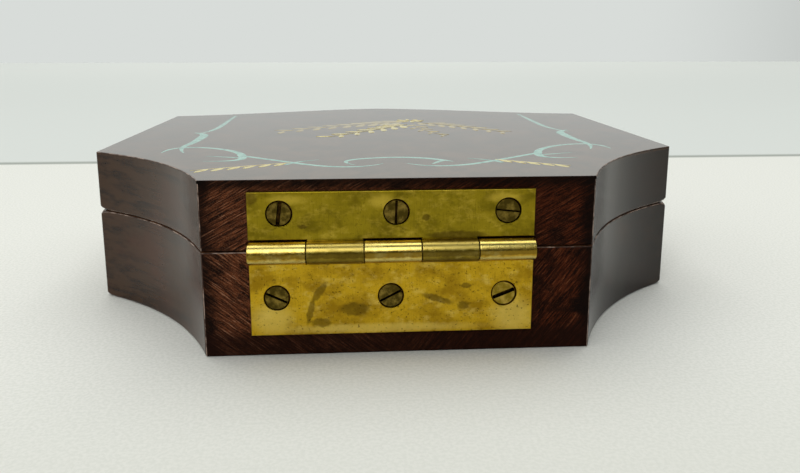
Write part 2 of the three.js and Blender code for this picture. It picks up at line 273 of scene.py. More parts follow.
def mahogany_sanded(name):
    """Bare mahogany, sawn and coarsely sanded: dark red-brown, with slanted scratches that cross."""
    material, tree = new_tree(name)
    rising, falling, steep = [
        figure(tree, (length, length, width), (0, lean, 0), detail=5, roughness=0.68, distortion=0.45)
        for length, width, lean in ((4.2, 0.22, 29), (3.4, 0.2, -38), (2.8, 0.2, 52))]
    grit = figure(tree, (0.26, 0.26, 0.26), detail=2, roughness=0.7)
    dust = figure(tree, (0.2, 0.2, 0.2), detail=2, roughness=0.7)
    cloud = figure(tree, (3.8, 3.8, 2.6), detail=4)
    across, upward = coordinate(tree, "X"), coordinate(tree, "Z")
    edge = add_node(tree, "ShaderNodeMath", {0: across}, operation="ABSOLUTE")
    frayed = add_node(tree, "ShaderNodeMath", {0: cloud, 1: 5 * MM, 2: edge}, operation="MULTIPLY_ADD")

    # falling scratches on the base's left half and steep ones on its right; rising ones on the lid
    low_marks = painted(tree, falling, steep, across, -6 * MM, 6 * MM)
    marks = painted(tree, low_marks, rising, upward, SEAM_LOW, SEAM_HIGH)
    base = layered(
        tree, "#1c0a04",
        ("#834a2d", marks, 0.4, 0.66),
        ("#b8967a", marks, 0.58, 0.72, 0.7),
        ("#1a0a05", cloud, 0.48, 0.66, 0.82),
        ("#100602", grit, 0.5, 0.66, 0.6),
        ("#8f6c54", dust, 0.54, 0.68, 0.42),
        # painted shade: the wood grows darker and redder towards the right, as the light comes from the
        # left
        ("#b3957f", across, -12 * MM, 16 * MM, 1.0, "MULTIPLY"),
        ("#0b0402", frayed, HALF_HINGE_FACE - 1.6 * MM, HALF_HINGE_FACE + 2.2 * MM, 0.85),
        ("#0b0402", upward, RAIL_TOP - 1.8 * MM, RAIL_TOP, 0.8),
        ("#1e0b05", upward, 5.6 * MM, 3.2 * MM, 0.8))
    return surfaced(material, base, marks, 0.14, Roughness=0.75, Specular_IOR_Level=0.06)


def pine_planed(name, turn):
    """Plain board, planed and stained: even mid-brown with long soft grain."""
    material, tree = new_tree(name)
    grain = figure(tree, (60, 2.2, 2.2), (0, 0, -turn), detail=5, roughness=0.6)
    pores = figure(tree, (3, 0.25, 0.25), (0, 0, -turn), detail=2)
    base = layered(tree, "#4e3220", ("#7c5638", grain, 0.32, 0.68), ("#2e1c11", pores, 0.58, 0.74, 0.6))
    return surfaced(material, base, pores, 0.06, Roughness=0.6, Specular_IOR_Level=0.3)


def brass_drawn(name, dark, middle_tone, bright, stains_and_shade=(), wear_and_highlights=(), pitted=0.3, gloss=0.26):
    """Drawn brass plate, worn: upright brush lines, faint tarnish and small dark pits.

    Darker places (staining, or painted shade) and brighter ones (wear, or painted highlights) are given
    as spot takes them."""
    material, tree = new_tree(name)
    cloud = figure(tree, (4.5, 4.5, 3.5), detail=5, roughness=0.62)
    patch = figure(tree, (3.4, 3.4, 2.2), detail=5, roughness=0.7)
    lines = figure(tree, (0.17, 2, 4), detail=4, roughness=0.65)
    pits = figure(tree, (0.42, 0.42, 0.42), detail=2)
    grime = figure(tree, (0.9, 0.9, 0.7), detail=5, roughness=0.75)
    base = layered(
        tree, middle_tone,
        (dark, cloud, 0.42, 0.68, 0.75),
        (bright, patch, 0.48, 0.72, 0.6),
        (dark, lines, 0.48, 0.74, 0.45),
        ("#5b4714", grime, 0.54, 0.72, pitted),
        # brighter places: wear, or painted highlights and reflections; darker ones: staining, or painted
        # shade
        *[(bright, spot(tree, *place), 0.0, 0.7, 0.65) for place in wear_and_highlights],
        *[("#4c3a12", spot(tree, *place), 0.05, 0.45, 0.62) for place in stains_and_shade],
        ("#2e1f08", pits, 0.64, 0.72, pitted))
    dulled = add_node(tree, "ShaderNodeMapRange", {
        "Value": cloud, "From Min": 0.3, "From Max": 0.7, "To Min": gloss, "To Max": gloss + 0.14})
    return surfaced(material, base, lines, 0.01, Metallic=1.0, Roughness=dulled)


def brass_turned(name, dull, worn):
    """Turned brass, dulled with age: brown-olive, with its colour left where it is touched."""
    material, tree = new_tree(name)
    cloud = figure(tree, (1.2, 1.2, 1.2), detail=4, roughness=0.65)
    base = painted(tree, dull, worn, cloud, 0.4, 0.68)
    return surfaced(material, base, cloud, 0.03, Metallic=1.0, Roughness=0.4)


def felt_pressed(name):
    """Wool felt, pressed: matt, with short crossing fibres and a slight pale fuzz at a low angle."""
    material, tree = new_tree(name)
    fibres = figure(tree, (0.5, 0.5, 0.5), detail=4, roughness=0.7)
    cloud = figure(tree, (9, 9, 9), detail=2)
    base = layered(tree, "#4c1218", ("#7a2228", fibres, 0.3, 0.7), ("#5c161c", cloud, 0.4, 0.7, 0.4))
    return surfaced(material, base, fibres, 0.15, Roughness=0.95, Specular_IOR_Level=0.2,
                    Sheen_Weight=0.4, Sheen_Roughness=0.6)


def inlay_dyed(name, pale, deep):
    """Dyed wood strip let into veneer, under the same lacquer: even colour with a faint grain."""
    material, tree = new_tree(name)
    grain = figure(tree, (1.8, 1.8, 1.8), detail=4, roughness=0.6)
    ripple = figure(tree, (7, 7, 7), detail=2)
    base = painted(tree, pale, deep, grain, 0.42, 0.68)
    return surfaced(material, base, ripple, 0.02, Roughness=0.14, Specular_IOR_Level=0.5)


MATERIALS = {}


def material_for(key):
    """Each material is made once, the first time that a piece asks for it."""
    makers = {
        "straight": lambda: mahogany_lacquered("mahogany_lacquered_across", 0),
        "side": lambda: mahogany_lacquered("mahogany_lacquered_along", 90),
        # the right hollow wall gets painted shade, as it is less lit than the left
        "scoop_right": lambda: mahogany_lacquered("mahogany_lacquered_right_shaded", 50, 0.75),
        "scoop_left": lambda: mahogany_lacquered("mahogany_lacquered_left", -50),
        "veneer": lambda: veneer_lacquered("burr_veneer_lacquered"),
        # pale arrises: partly wear, partly a painted highlight where an arris catches the light
        "worn": lambda: lacquer_worn_and_highlit("lacquer_worn_through_and_highlit"),
        "bare": lambda: mahogany_sanded("mahogany_sawn_sanded"),
        "board": lambda: pine_planed("pine_planed_stained", 90),
        "felt": lambda: felt_pressed("wool_felt_pressed"),
        "blue": lambda: inlay_dyed("holly_dyed_blue", "#7fb2a6", "#4f8c82"),
        "cream": lambda: inlay_dyed("satinwood_cream", "#cdbf74", "#ab9244"),
        "tan": lambda: inlay_dyed("satinwood_tan", "#ab9750", "#857034"),
        "upper_brass": lambda: brass_drawn(
            "brass_drawn_tarnished", "#665810", "#94801b", "#c8ac3e",
            stains_and_shade=[(-16.8, 23.9, 1.1, 0.5), (4.5, 25.2, 0.9, 0.8), (-25.6, 29, 1.6, 1.6),
                    (10, 22, 7, 0.9)],
            # painted reflection: brighter patches round the screws, as if the leaf, dished there, caught
            # a brighter part of the room
            wear_and_highlights=[(-19.5, 28.6, 4.2, 1.3), (-3.2, 28.2, 3.2, 1.7), (18.0, 28.6, 4.2, 1.2)]),
        "lower_brass": lambda: brass_drawn(
            "brass_drawn_worn_bright", "#8f6c12", "#c59f22", "#dfc25e",
            stains_and_shade=[(-14.2, 12.0, 0.9, 2.7, 34), (-15.8, 8.4, 0.75, 3.1, 13), (-13.9, 6.4, 2.3, 1.1),
                    (11.2, 9.0, 1.3, 1.1), (11.6, 12.7, 1.3, 0.7), (6.6, 10.4, 3.8, 0.8, 18),
                    (-8.0, 8.8, 3.4, 1.6), (20.7, 13.1, 0.3, 0.3)],
            wear_and_highlights=[(-4, 5.2, 24, 1.2), (20, 7, 5, 5), (-22.4, 7.4, 5, 4)], pitted=0.75),
        # painted light on the knuckles: a painted highlight band across the upper third and a painted
        # dark band of reflection below the middle
        "upper_knuckle": lambda: brass_drawn(
            "brass_rolled_tarnished_painted_light", "#665516", "#917c2a", "#ccb765",
            stains_and_shade=[(-1.3, 19.3, 60, 0.7)], wear_and_highlights=[(-1.3, 20.6, 60, 0.9)], pitted=0.6, gloss=0.24),
        # the same painted bands, and a painted reflection band near the bottom where the floor shows
        "lower_knuckle": lambda: brass_drawn(
            "brass_rolled_painted_light", "#94701c", "#be9932", "#f4e48a",
            stains_and_shade=[(-1.3, 19.3, 60, 0.7)], wear_and_highlights=[(-1.3, 20.6, 60, 1.0), (-1.3, 18.1, 60, 0.7)],
            pitted=0.4, gloss=0.18),
        "screw": lambda: brass_turned("brass_turned_dull", "#4a3d14", "#8a7434"),
        "rubbed_screw": lambda: brass_turned("brass_turned_rubbed", "#86701f", "#b89c46"),
        # slot insides: grime, darkened further with painted shade
        "grime": lambda: brass_turned("brass_turned_grimed_and_shaded", "#1d1206", "#4a3414"),
        "pin": lambda: brass_turned("brass_turned_pin", "#75601f", "#a8904a"),
    }
    if key not in MATERIALS:
        MATERIALS[key] = makers[key]()
    return MATERIALS[key]


# ------------ making pieces

def finished(name, bm, body, slot, materials, *stands_for):
    """A mesh piece from a bmesh, riding on its body in place of the CAD nodes that it stands for."""
    mesh = bpy.data.meshes.new(name)
    bm.to_mesh(mesh)
    bm.free()
    for key in materials:
        mesh.materials.append(material_for(key))
    mesh.shade_smooth()
    mesh.set_sharp_from_angle(angle=SHARP_ANGLE)
    piece = bpy.data.objects.new(name, mesh)
    bpy.context.collection.objects.link(piece)
    piece.modifiers.new("flats_stay_flat", "WEIGHTED_NORMAL").keep_sharp = True
    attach(piece, body)
    if stands_for:
        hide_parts(*stands_for)
    return piece


def dressed(node, key):
    """Gives a material to a CAD node that keeps its shape."""
    piece = frame["nodes"][node]
    piece.data.materials.clear()
    piece.data.materials.append(material_for(key))


def cut_away(bm, cutter):
    """Cuts one bmesh out of another with a Boolean modifier, and gives the result as a bmesh."""
    objects = []
    for part in (bm, cutter):
        mesh = bpy.data.meshes.new("cutting")
        part.to_mesh(mesh)
        part.free()
        objects.append(bpy.data.objects.new("cutting", mesh))
        bpy.context.collection.objects.link(objects[-1])
    boolean = objects[0].modifiers.new("cut", "BOOLEAN")
    boolean.operation = "DIFFERENCE"
    boolean.solver = "EXACT"
    boolean.object = objects[1]
    graph = bpy.context.evaluated_depsgraph_get()
    result = bmesh.new()
    result.from_object(objects[0], graph)
    for item in objects:
        mesh = item.data
        bpy.data.objects.remove(item)
        bpy.data.meshes.remove(mesh)
    return result


def extruded(bm, face, move=(0, 0, 0)):
    """Extrudes one face and moves the new one, which it gives. A free face stays as the other end."""
    grown = bmesh.ops.extrude_face_region(bm, geom=[face, *face.edges, *face.verts])
    new_face = next(item for item in grown["geom"] if isinstance(item, bmesh.types.BMFace))
    bmesh.ops.translate(bm, verts=new_face.verts, vec=move)
    return new_face


def box_cut(bm, lowest, highest):
    """Cuts the box between two corners out of a bmesh."""
    size = [b - a for a, b in zip(lowest, highest)]
    centre = [(a + b) / 2 for a, b in zip(lowest, highest)]
    cutter = bmesh.new()
    bmesh.ops.create_cube(cutter, size=1, matrix=Matrix.Translation(centre) @ Matrix.Diagonal((*size, 1)))
    return cut_away(bm, cutter)


def softened(bm, edges, radius, segments=3):
    """Rounds some edges."""
    bmesh.ops.bevel(bm, geom=edges, offset=radius, offset_type="OFFSET", segments=segments, profile=0.5,
                    affect="EDGES", material=-1, clamp_overlap=True)


def plate(rim, bottom, top, radius):
    """A flat sheet with a given outline, rounded along its upper edge."""
    bm = bmesh.new()
    face = bm.faces.new([bm.verts.new((p.x, p.y, bottom)) for p in rim])
    extruded(bm, face, (0, 0, top - bottom))
    bmesh.ops.recalc_face_normals(bm, faces=bm.faces)
    softened(bm, [e for e in bm.edges if all(v.co.z > top - 0.01 * MM for v in e.verts)], radius)
    return bm


def rod(bm, radius, left, right):
    """Adds a closed cylinder round the pin's axis."""
    place = Matrix.Translation(((left + right) / 2, PIN.y, PIN.z))
    turn = Vector((1, 0, 0)).to_track_quat("Z", "Y").to_matrix().to_4x4()
    bmesh.ops.create_cone(bm, cap_ends=True, segments=ROUND_STEPS, radius1=radius, radius2=radius,
                          depth=right - left, matrix=place @ turn)


# ------------ plan of the case

RIGHT_CORNERS = ((HALF_HINGE_FACE, BACK), (HALF_WIDTH, SCOOP_END), (HALF_WIDTH, FRONT_CORNER))
CORNERS = [Vector(place) for place in RIGHT_CORNERS] + [Vector((-x, y)) for x, y in RIGHT_CORNERS[::-1]]
RUNS = ("scoop_right", "side_right", "front", "side_left", "scoop_left", "back")
FRONT_LEAN = math.atan(FRONT_RISE * (1 - FRONT_SWELL) / HALF_WIDTH)
SCOOP_CHORD = CORNERS[1] - CORNERS[0]
SCOOP_LEAN = math.atan(4 * SCOOP_SAG / SCOOP_CHORD.length)


def run_directions(index):
    """Headings of the outline as a run starts and as it ends."""
    chord = CORNERS[(index + 1) % 6] - CORNERS[index]
    heading = math.atan2(chord.y, chord.x)
    if "scoop" in RUNS[index]:
        return heading + SCOOP_LEAN, heading - SCOOP_LEAN
    if RUNS[index] == "front":
        return heading - FRONT_LEAN, heading + FRONT_LEAN
    return heading, heading


def corner_facts(index):
    """(inward mitre direction, half the turn) at a corner."""
    before = run_directions((index - 1) % 6)[1]
    after = run_directions(index)[0]
    turn = (after - before) % (2 * math.pi)
    inward = before + turn / 2 + math.pi / 2
    return Vector((math.cos(inward), math.sin(inward))), turn / 2


def mitre(index, inset):
    """The corner of the outline moved in by a distance."""
    inward, half_turn = corner_facts(index % 6)
    return CORNERS[index % 6] + inward * (inset / math.cos(half_turn))


def swell(t):
    """Height of the serpentine front, from 0 at its corner to 1 at its tip."""
    return (1 - FRONT_SWELL) * t + FRONT_SWELL * t * t * (3 - 2 * t)


def plan_point(run, along, inset):
    """A point of the outline moved in by a distance: along goes from 0 to 1 over the run."""
    index = RUNS.index(run)
    start, end = mitre(index, inset), mitre(index + 1, inset)
    point = start.lerp(end, along)
    if "scoop" in run:
        chord = end - start
        inward = Vector((-chord.y, chord.x)).normalized()
        bow = SCOOP_SAG * (chord.length / SCOOP_CHORD.length) ** 2
        point += inward * (bow * 4 * along * (1 - along))
    if run == "front":
        rise = FRONT_RISE - inset * math.tan(FRONT_LEAN)
        point.y += rise * swell(1 - abs(2 * along - 1))
        if inset >= WALL - 0.5 * MM:
            point.y = min(point.y, THICK_FRONT)
    return point


def eased(point, radius):
    """The point, drawn in where it lies outside the rounding of an upright corner."""
    for index, corner in enumerate(CORNERS):
        inward, half_turn = corner_facts(index)
        centre = corner + inward * (radius / math.cos(half_turn))
        offset = point - centre
        if offset.length > radius and offset.normalized().dot(-inward) > math.cos(half_turn):
            return centre + offset.normalized() * radius
    return point


def stations(run):
    """Places along a run, close together at its ends where the corner is rounded."""
    index = RUNS.index(run)
    length = (CORNERS[(index + 1) % 6] - CORNERS[index]).length
    ends = [e * MM / length for e in (0, 0.1, 0.2, 0.36, 0.55, 0.8)]
    first = 1.1 * MM / length
    count = 1 if run == "back" else max(2, 2 * round(length / STATION_PITCH / 2))
    inner = [first + (1 - 2 * first) * i / count for i in range(count + 1)]
    return ends + inner + [1 - e for e in reversed(ends)]


def wear(point):
    """How exposed a place is: 1 at each end of a straight side, a tenth at 3 mm from it."""
    reach = min((point - CORNERS[i]).length for i in (1, 2, 3, 4))
    return math.exp(-reach / (1.3 * MM))


def quarter(inset, height, radius, start):
    """Points of a quarter circle round (inset, height), turning from a start angle in degrees."""
    steps = 4
    angles = [math.radians(start - 90 * i / steps) for i in range(steps + 1)]
    return [(inset + radius * math.cos(a), height + radius * math.sin(a)) for a in angles]


def base_section(radius):
    """Outline of a base wall in (inset, height), outer face first, with the rebate for the floor."""
    foot = max(radius, 0.5 * MM)
    lower = quarter(foot, foot, foot, 270)
    upper = quarter(radius, SEAM_LOW - radius, radius, 180)
    step, shelf = REBATE - REBATE_FIT, FLOOR_TOP + REBATE_FIT
    inner = [(WALL - CHAMFER, SEAM_LOW), (WALL, SEAM_LOW - CHAMFER), (WALL, shelf), (step, shelf),
             (step, 0)]
    return lower + upper + inner


def lid_section(radius):
    """Outline of a lid rail in (inset, height), with the rebate for the panel."""
    lower = quarter(radius, SEAM_HIGH + radius, radius, 270)
    step, shelf = REBATE - REBATE_FIT, PANEL_LOW - REBATE_FIT
    inner = [(0, RAIL_TOP), (step, RAIL_TOP), (step, shelf), (WALL, shelf), (WALL, SEAM_HIGH + CHAMFER),
             (WALL - CHAMFER, SEAM_HIGH)]
    return lower + inner


def wall_mesh(run, section):
    """A mitred length of wall: its section set at each station and extruded to the next."""
    sizes = bpy.context.scene.puzzle_box_sizes
    bm = bmesh.new()
    face = None
    for along in stations(run):
        outer = plan_point(run, along, 0)
        radius = sizes.arris + sizes.worn_arris * wear(outer)
        places = []
        for inset, height in section(radius):
            point = eased(plan_point(run, along, inset), sizes.corner)
            places.append(Vector((point.x, point.y, height)))
        if face is None:
            face = bm.faces.new([bm.verts.new(place) for place in places])
            continue
        face = extruded(bm, face)
        for vert, place in zip(face.verts, places):
            vert.co = place
    bmesh.ops.recalc_face_normals(bm, faces=bm.faces)
    return bm


def mark_faces(bm, index, test):
    """Gives the faces that pass a test another of the piece's materials."""
    for face in bm.faces:
        if test(face):
            face.material_index = index


def is_inner(face):
    """True on the faces that look into the box or into a rebate, by how far in they lie."""
    centre = face.calc_center_median()
    plan = Vector((centre.x, centre.y))
    return all((plan - point).length > OUTER_BAND for point in OUTLINE_SAMPLES)


OUTLINE_SAMPLES = [plan_point(run, i / 60, 0) for run in RUNS for i in range(60)]


# ------------ operators: the case

def side_walls(body, section, is_worn_or_highlit):
    """The two straight walls and the two hollow ones of the base or the lid."""
    for run in ("scoop_right", "side_right", "side_left", "scoop_left"):
        key = "side" if "side" in run else run
        bm = wall_mesh(run, section)
        mark_faces(bm, 1, is_inner)
        # the arris along the seam is painted pale: partly wear, partly a painted highlight
        mark_faces(bm, 2, is_worn_or_highlit)
        finished(f"{body}_{run}_wood", bm, body, "lacquered_wood", [key, "board", "worn"],
                 f"{body}_{run}")


def back_wall(node, section, body):
    """Bare wall behind the hinge, its edges pale (wear and painted highlight), hollow behind the
    knuckles.
    """
    relief = bmesh.new()
    spare = 0.35 * MM
    rod(relief, KNUCKLE_RADIUS + 0.3 * MM, LEAF_LEFT - spare, LEAF_RIGHT + spare)
    bm = cut_away(wall_mesh("back", section), relief)
    mark_faces(bm, 2, is_inner)
    # pale strips at the edges: partly wear, partly a painted highlight
    mark_faces(bm, 1, is_worn_or_highlit_back)
    finished(f"{node}_wood", bm, body, "bare_wood", ["bare", "worn", "board"], node)


def is_worn_or_highlit_back(face):
    """True in a thin strip up each side of the hinge wall, and on the base's seam beside the hinge."""
    place = face.calc_center_median()
    at_side = abs(place.x) > HALF_HINGE_FACE - 0.24 * MM and place.y < BACK + 0.6 * MM
    at_seam = (abs(place.x) > LEAF_RIGHT and BACK + 0.03 * MM < place.y < BACK + 0.25 * MM
               and SEAM_LOW - 0.3 * MM < place.z < SEAM_LOW)
    return face.material_index == 0 and (at_side or at_seam)


class PUZZLEBOX_OT_base_case(bpy.types.Operator):
    """Builds the five lacquered walls of the base and its bare hinge wall"""
    bl_idname = "puzzlebox.base_case"
    bl_label = "Base case"

    def execute(self, context):
        # the base's top arris is painted pale: partly wear, partly a painted highlight
        side_walls("base", base_section, lambda face: 0.5 < face.normal.z < 0.9
                   and face.calc_center_median().z > SEAM_LOW / 2)
        self.front()
        back_wall("base_back_wall", base_section, "base")
        return {"FINISHED"}

    def front(self):
        """The serpentine wall, with the latch's groove in its foot and a slot above it for the pin."""
        slide_low, slide_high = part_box("latch_slide")
        pin = middle("latch_pin")
        gap = 0.4 * MM
        width = high("latch_pin").x - 0.5 * MM
        over = 1 * MM
        bm = box_cut(wall_mesh("front", base_section), (slide_low.x - gap, slide_low.y - gap, -over),
                     (slide_high.x + LATCH_REACH + gap, slide_high.y + gap, slide_high.z + gap))
        bm = box_cut(bm, (-width, pin.y - width, slide_high.z),
                     (LATCH_REACH + width, pin.y + width, SEAM_LOW + over))
        mark_faces(bm, 1, is_inner)
        finished("base_front_wood", bm, "base", "lacquered_wood", ["straight", "board"],
                 "base_front_wall")


class PUZZLEBOX_OT_lid_case(bpy.types.Operator):
    """Builds the six rails of the lid and the veneered top"""
    bl_idname = "puzzlebox.lid_case"
    bl_label = "Lid case"

    def execute(self, context):
        # the lid's lower arris is painted pale: partly wear, partly a painted highlight
        side_walls("lid", lid_section, lambda face: -0.9 < face.normal.z < -0.5)
        self.front()
        back_wall("lid_back_rail", lid_section, "lid")
        self.top(context)
        return {"FINISHED"}

    def front(self):
        """The serpentine rail, with a recess for the keeper plate and a pocket for the pin's head."""
        plate_low, plate_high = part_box("keeper_plate")
        fit = 0.2 * MM
        bm = box_cut(wall_mesh("front", lid_section),
                     (plate_low.x - fit, plate_low.y - fit, plate_low.z - 1 * MM),
                     (plate_high.x + fit, plate_high.y + fit, plate_high.z + fit))
        centre = middle("keeper_plate").y
        half_width, ceiling, spare = 2.9 * MM, 25.6 * MM, 3 * MM
        bm = box_cut(bm, (-spare, centre - half_width, plate_low.z),
                     (LATCH_REACH + spare, centre + half_width, ceiling))
        mark_faces(bm, 1, is_inner)
        finished("lid_front_wood", bm, "lid", "lacquered_wood", ["straight", "board"],
                 "lid_front_rail")

    def top(self, context):
        """The veneer: lacquered on its face, its edge pale (wear and painted highlight), bare on the
        hinge side.
        """
        corner = context.scene.puzzle_box_sizes.corner
        rim = [eased(plan_point(run, along, 0), corner) for run in RUNS for along in stations(run)[:-1]]
        bm = plate(rim, RAIL_TOP, TOP, 0.22 * MM)
        # the top arris is painted pale: partly wear, partly a painted highlight
        mark_faces(bm, 1, lambda face: 0.4 < face.normal.z < 0.9)
        mark_faces(bm, 2, lambda face: abs(face.normal.z) < 0.3)
        mark_faces(bm, 3, lambda face: face.normal.y < -0.4
                   and face.calc_center_median().y < BACK + 0.4 * MM)
        finished("lid_top_veneer", bm, "lid", "veneer", ["veneer", "worn", "straight", "bare"],
                 "lid_veneer")


class PUZZLEBOX_OT_boards(bpy.types.Operator):
    """Finishes the floor, the lid's panel and the felt lining"""
    bl_idname = "puzzlebox.boards"
    bl_label = "Boards and lining"

    def execute(self, context):
        dressed("base_floor", "board")
        dressed("lid_panel", "board")
        lining_low, lining_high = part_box("base_lining")
        inset = HALF_WIDTH - lining_high.x
        rim = [plan_point(run, i / 24, inset) for run in RUNS for i in range(24)]
        for point in rim:
            point.y = min(point.y, lining_high.y)
        bm = plate(rim, lining_low.z, lining_high.z, 0.35 * MM)
        felt = finished("base_felt", bm, "base", "felt", ["felt"], "base_lining")
        return {"FINISHED"}


# ------------ operators: the hinge

HOLE_RADIUS = 2.28 * MM
HOLE_SHIFT = Vector((0.05 * MM, 0, 0.04 * MM))  # the screws sit a hair off the middle of their holes
KNUCKLE_GAP = 0.06 * MM


def leaf_mesh(node, screws, own, above):
    """A leaf: a plate with three screw holes, and a turned knuckle wherever it owns one."""
    leaf_low, leaf_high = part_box(node)
    pitch = (LEAF_RIGHT - LEAF_LEFT) / KNUCKLES
    joint = PIN.z + (1.3 if above else -1.3) * MM
    notch = PIN.z + (KNUCKLE_RADIUS + 0.2 * MM if above else -KNUCKLE_RADIUS - 0.1 * MM)
    far = leaf_high.z if above else leaf_low.z
    bm = bmesh.new()
    corners = [(LEAF_LEFT, far), (LEAF_RIGHT, far)]
    for i in reversed(range(KNUCKLES)):
        level = joint if own(i) else notch
        gap = 0 if own(i) else 0.1 * MM
        right = LEAF_LEFT + (i + 1) * pitch + (gap if i < KNUCKLES - 1 else 0)
        left = LEAF_LEFT + i * pitch - (gap if i > 0 else 0)
        corners += [(right, level), (left, level)]
    verts = [bm.verts.new((x, LEAF_FACE, z)) for x, z in corners]
    edges = [bm.edges.new(pair) for pair in zip(verts, verts[1:] + verts[:1])]
    upright = Matrix.Rotation(math.radians(90), 4, "X")
    for screw in screws:
        centre = middle(screw) + HOLE_SHIFT
        place = Matrix.Translation((centre.x, LEAF_FACE, centre.z)) @ upright
        ring = bmesh.ops.create_circle(bm, segments=ROUND_STEPS, radius=HOLE_RADIUS, matrix=place)
        edges += list({edge for vert in ring["verts"] for edge in vert.link_edges})
    bmesh.ops.triangle_fill(bm, use_beauty=True, use_dissolve=False, edges=edges)
    bmesh.ops.recalc_face_normals(bm, faces=bm.faces)
    grown = bmesh.ops.extrude_face_region(bm, geom=bm.faces[:], use_keep_orig=True)
    sunk = [item for item in grown["geom"] if isinstance(item, bmesh.types.BMVert)]
    bmesh.ops.translate(bm, verts=sunk, vec=(0, BACK - LEAF_FACE, 0))
    bmesh.ops.recalc_face_normals(bm, faces=bm.faces)
    rims = [e for e in bm.edges if len(e.link_faces) == 2 and e.calc_face_angle(0) > 1.0
            and all(abs(v.co.y - LEAF_FACE) < HAIR for v in e.verts)]
    softened(bm, rims, 0.17 * MM, 2)
    for i in filter(own, range(KNUCKLES)):
        start = LEAF_LEFT + i * pitch + (KNUCKLE_GAP if i > 0 else 0)
        end = LEAF_LEFT + (i + 1) * pitch - (KNUCKLE_GAP if i < KNUCKLES - 1 else 0)
        knuckle(bm, start, end)
    return bm


def knuckle(bm, start, end):
    """A tube round the pin with softened ends, spun from its section."""
    soft = 0.14 * MM
    bore = PIN_RADIUS + 0.09 * MM
    outer = KNUCKLE_RADIUS
    section = [(start, bore), (end, bore), (end, outer - soft), (end - 0.04 * MM, outer - 0.05 * MM),
               (end - soft, outer), (start + soft, outer), (start + 0.04 * MM, outer - 0.05 * MM),
               (start, outer - soft)]
    verts = [bm.verts.new((x, PIN.y, PIN.z + radius)) for x, radius in section]
    edges = [bm.edges.new(pair) for pair in zip(verts, verts[1:] + verts[:1])]
    bmesh.ops.spin(bm, geom=edges, cent=(0, PIN.y, PIN.z), axis=(1, 0, 0), angle=2 * math.pi, steps=56,
                   use_merge=True)
    # the tube's faces, found by walking out from the section
    faces = {face for vert in verts for face in vert.link_faces}
    grown = set(faces)
    while grown:
        grown = {f for face in grown for edge in face.edges for f in edge.link_faces} - faces
        faces |= grown
    bmesh.ops.recalc_face_normals(bm, faces=list(faces))
    for face in faces:
        face.material_index = 1


class PUZZLEBOX_OT_hinge(bpy.types.Operator):
    """Builds the two brass leaves with their knuckles, and the pin"""
    bl_idname = "puzzlebox.hinge"
    bl_label = "Hinge"

    def execute(self, context):
        lower = leaf_mesh("hinge_leaf_base", BASE_SCREWS, lambda i: i % 2 == 0, False)
        finished("hinge_lower_leaf", lower, "base", "bright_brass", ["lower_brass", "lower_knuckle"],
                 "hinge_leaf_base")
        upper = leaf_mesh("hinge_leaf_lid", LID_SCREWS, lambda i: i % 2 == 1, True)
        finished("hinge_upper_leaf", upper, "lid", "brass", ["upper_brass", "upper_knuckle"],
                 "hinge_leaf_lid")
        bm = bmesh.new()
        rod(bm, PIN_RADIUS, low("hinge_pin").x, high("hinge_pin").x)
        softened(bm, [e for e in bm.edges if abs(e.verts[0].co.x - e.verts[1].co.x) < HAIR], 0.2 * MM)
        finished("hinge_pin_rod", bm, "base", "brass", ["pin"], "hinge_pin")
        return {"FINISHED"}


BASE_SCREWS = ("base_screw_left", "base_screw_middle", "base_screw_right")
LID_SCREWS = ("lid_screw_left", "lid_screw_middle", "lid_screw_right")
# Each slot's turn in degrees and width in millimetres
SLOTS = {
    "base_screw_left": (-25, 0.42), "base_screw_middle": (28, 0.42), "base_screw_right": (22, 0.7),
    "lid_screw_left": (83, 0.7), "lid_screw_middle": (88, 0.42), "lid_screw_right": (-6, 0.3),
    "keeper_screw_left": (35, 0.5), "keeper_screw_right": (80, 0.5),
}
SLOT_DEPTH = 0.75 * MM
HEAD_RADIUS = 2.1 * MM
KEEPER_HEAD_RADIUS = 1.8 * MM
SCREW_SINK = 0.12 * MM  # from the leaf's face to the head's


def screw_mesh(name, radius, length):
    """A countersunk slotted screw with its face at z = 0, made from one disc."""
    slot_turn, slot_width = SLOTS[name][0], SLOTS[name][1] * MM
    bm = bmesh.new()
    bmesh.ops.create_circle(bm, cap_ends=True, radius=radius - 0.08 * MM, segments=ROUND_STEPS)
    for side in (-1, 1):
        bmesh.ops.bisect_plane(bm, geom=bm.verts[:] + bm.edges[:] + bm.faces[:],
                               plane_co=(0, side * slot_width / 2, 0), plane_no=(0, 1, 0))
    rim = [edge for edge in bm.edges if edge.is_boundary]
    # rim, land, countersink, shank and two steps of the point: (scale, depth in millimetres)
    for scale, depth in ((1 + 0.08 * MM / radius, 0.08), (1, 0.15), (0.55, 1.1), (1, length / MM - 2.2),
                         (0.35, 1.4), (0.3, 0.5)):
        grown = bmesh.ops.extrude_edge_only(bm, edges=rim)
        verts = [item for item in grown["geom"] if isinstance(item, bmesh.types.BMVert)]
        rim = [item for item in grown["geom"] if isinstance(item, bmesh.types.BMEdge)]
        bmesh.ops.scale(bm, vec=(scale, scale, 1), verts=verts)
        bmesh.ops.translate(bm, vec=(0, 0, -depth * MM), verts=verts)
    bmesh.ops.holes_fill(bm, edges=rim)
    top = [f for f in bm.faces if all(abs(v.co.z) < HAIR for v in f.verts)]
    strip = min(top, key=lambda f: abs(f.calc_center_median().y))
    floor = extruded(bm, strip, (0, 0, -SLOT_DEPTH))
    bmesh.ops.scale(bm, vec=(0.97, 0.85, 1), verts=floor.verts)
    # the slot's walls and floor take the dark material: grime and painted shade
    mark_faces(bm, 1, lambda face: all(abs(v.co.y) < slot_width for v in face.verts)
               and -1 * MM < face.calc_center_median().z < -0.1 * MM)
    bmesh.ops.recalc_face_normals(bm, faces=bm.faces)
    bmesh.ops.rotate(bm, verts=bm.verts, matrix=Matrix.Rotation(math.radians(slot_turn), 3, "Z"))
    return bm


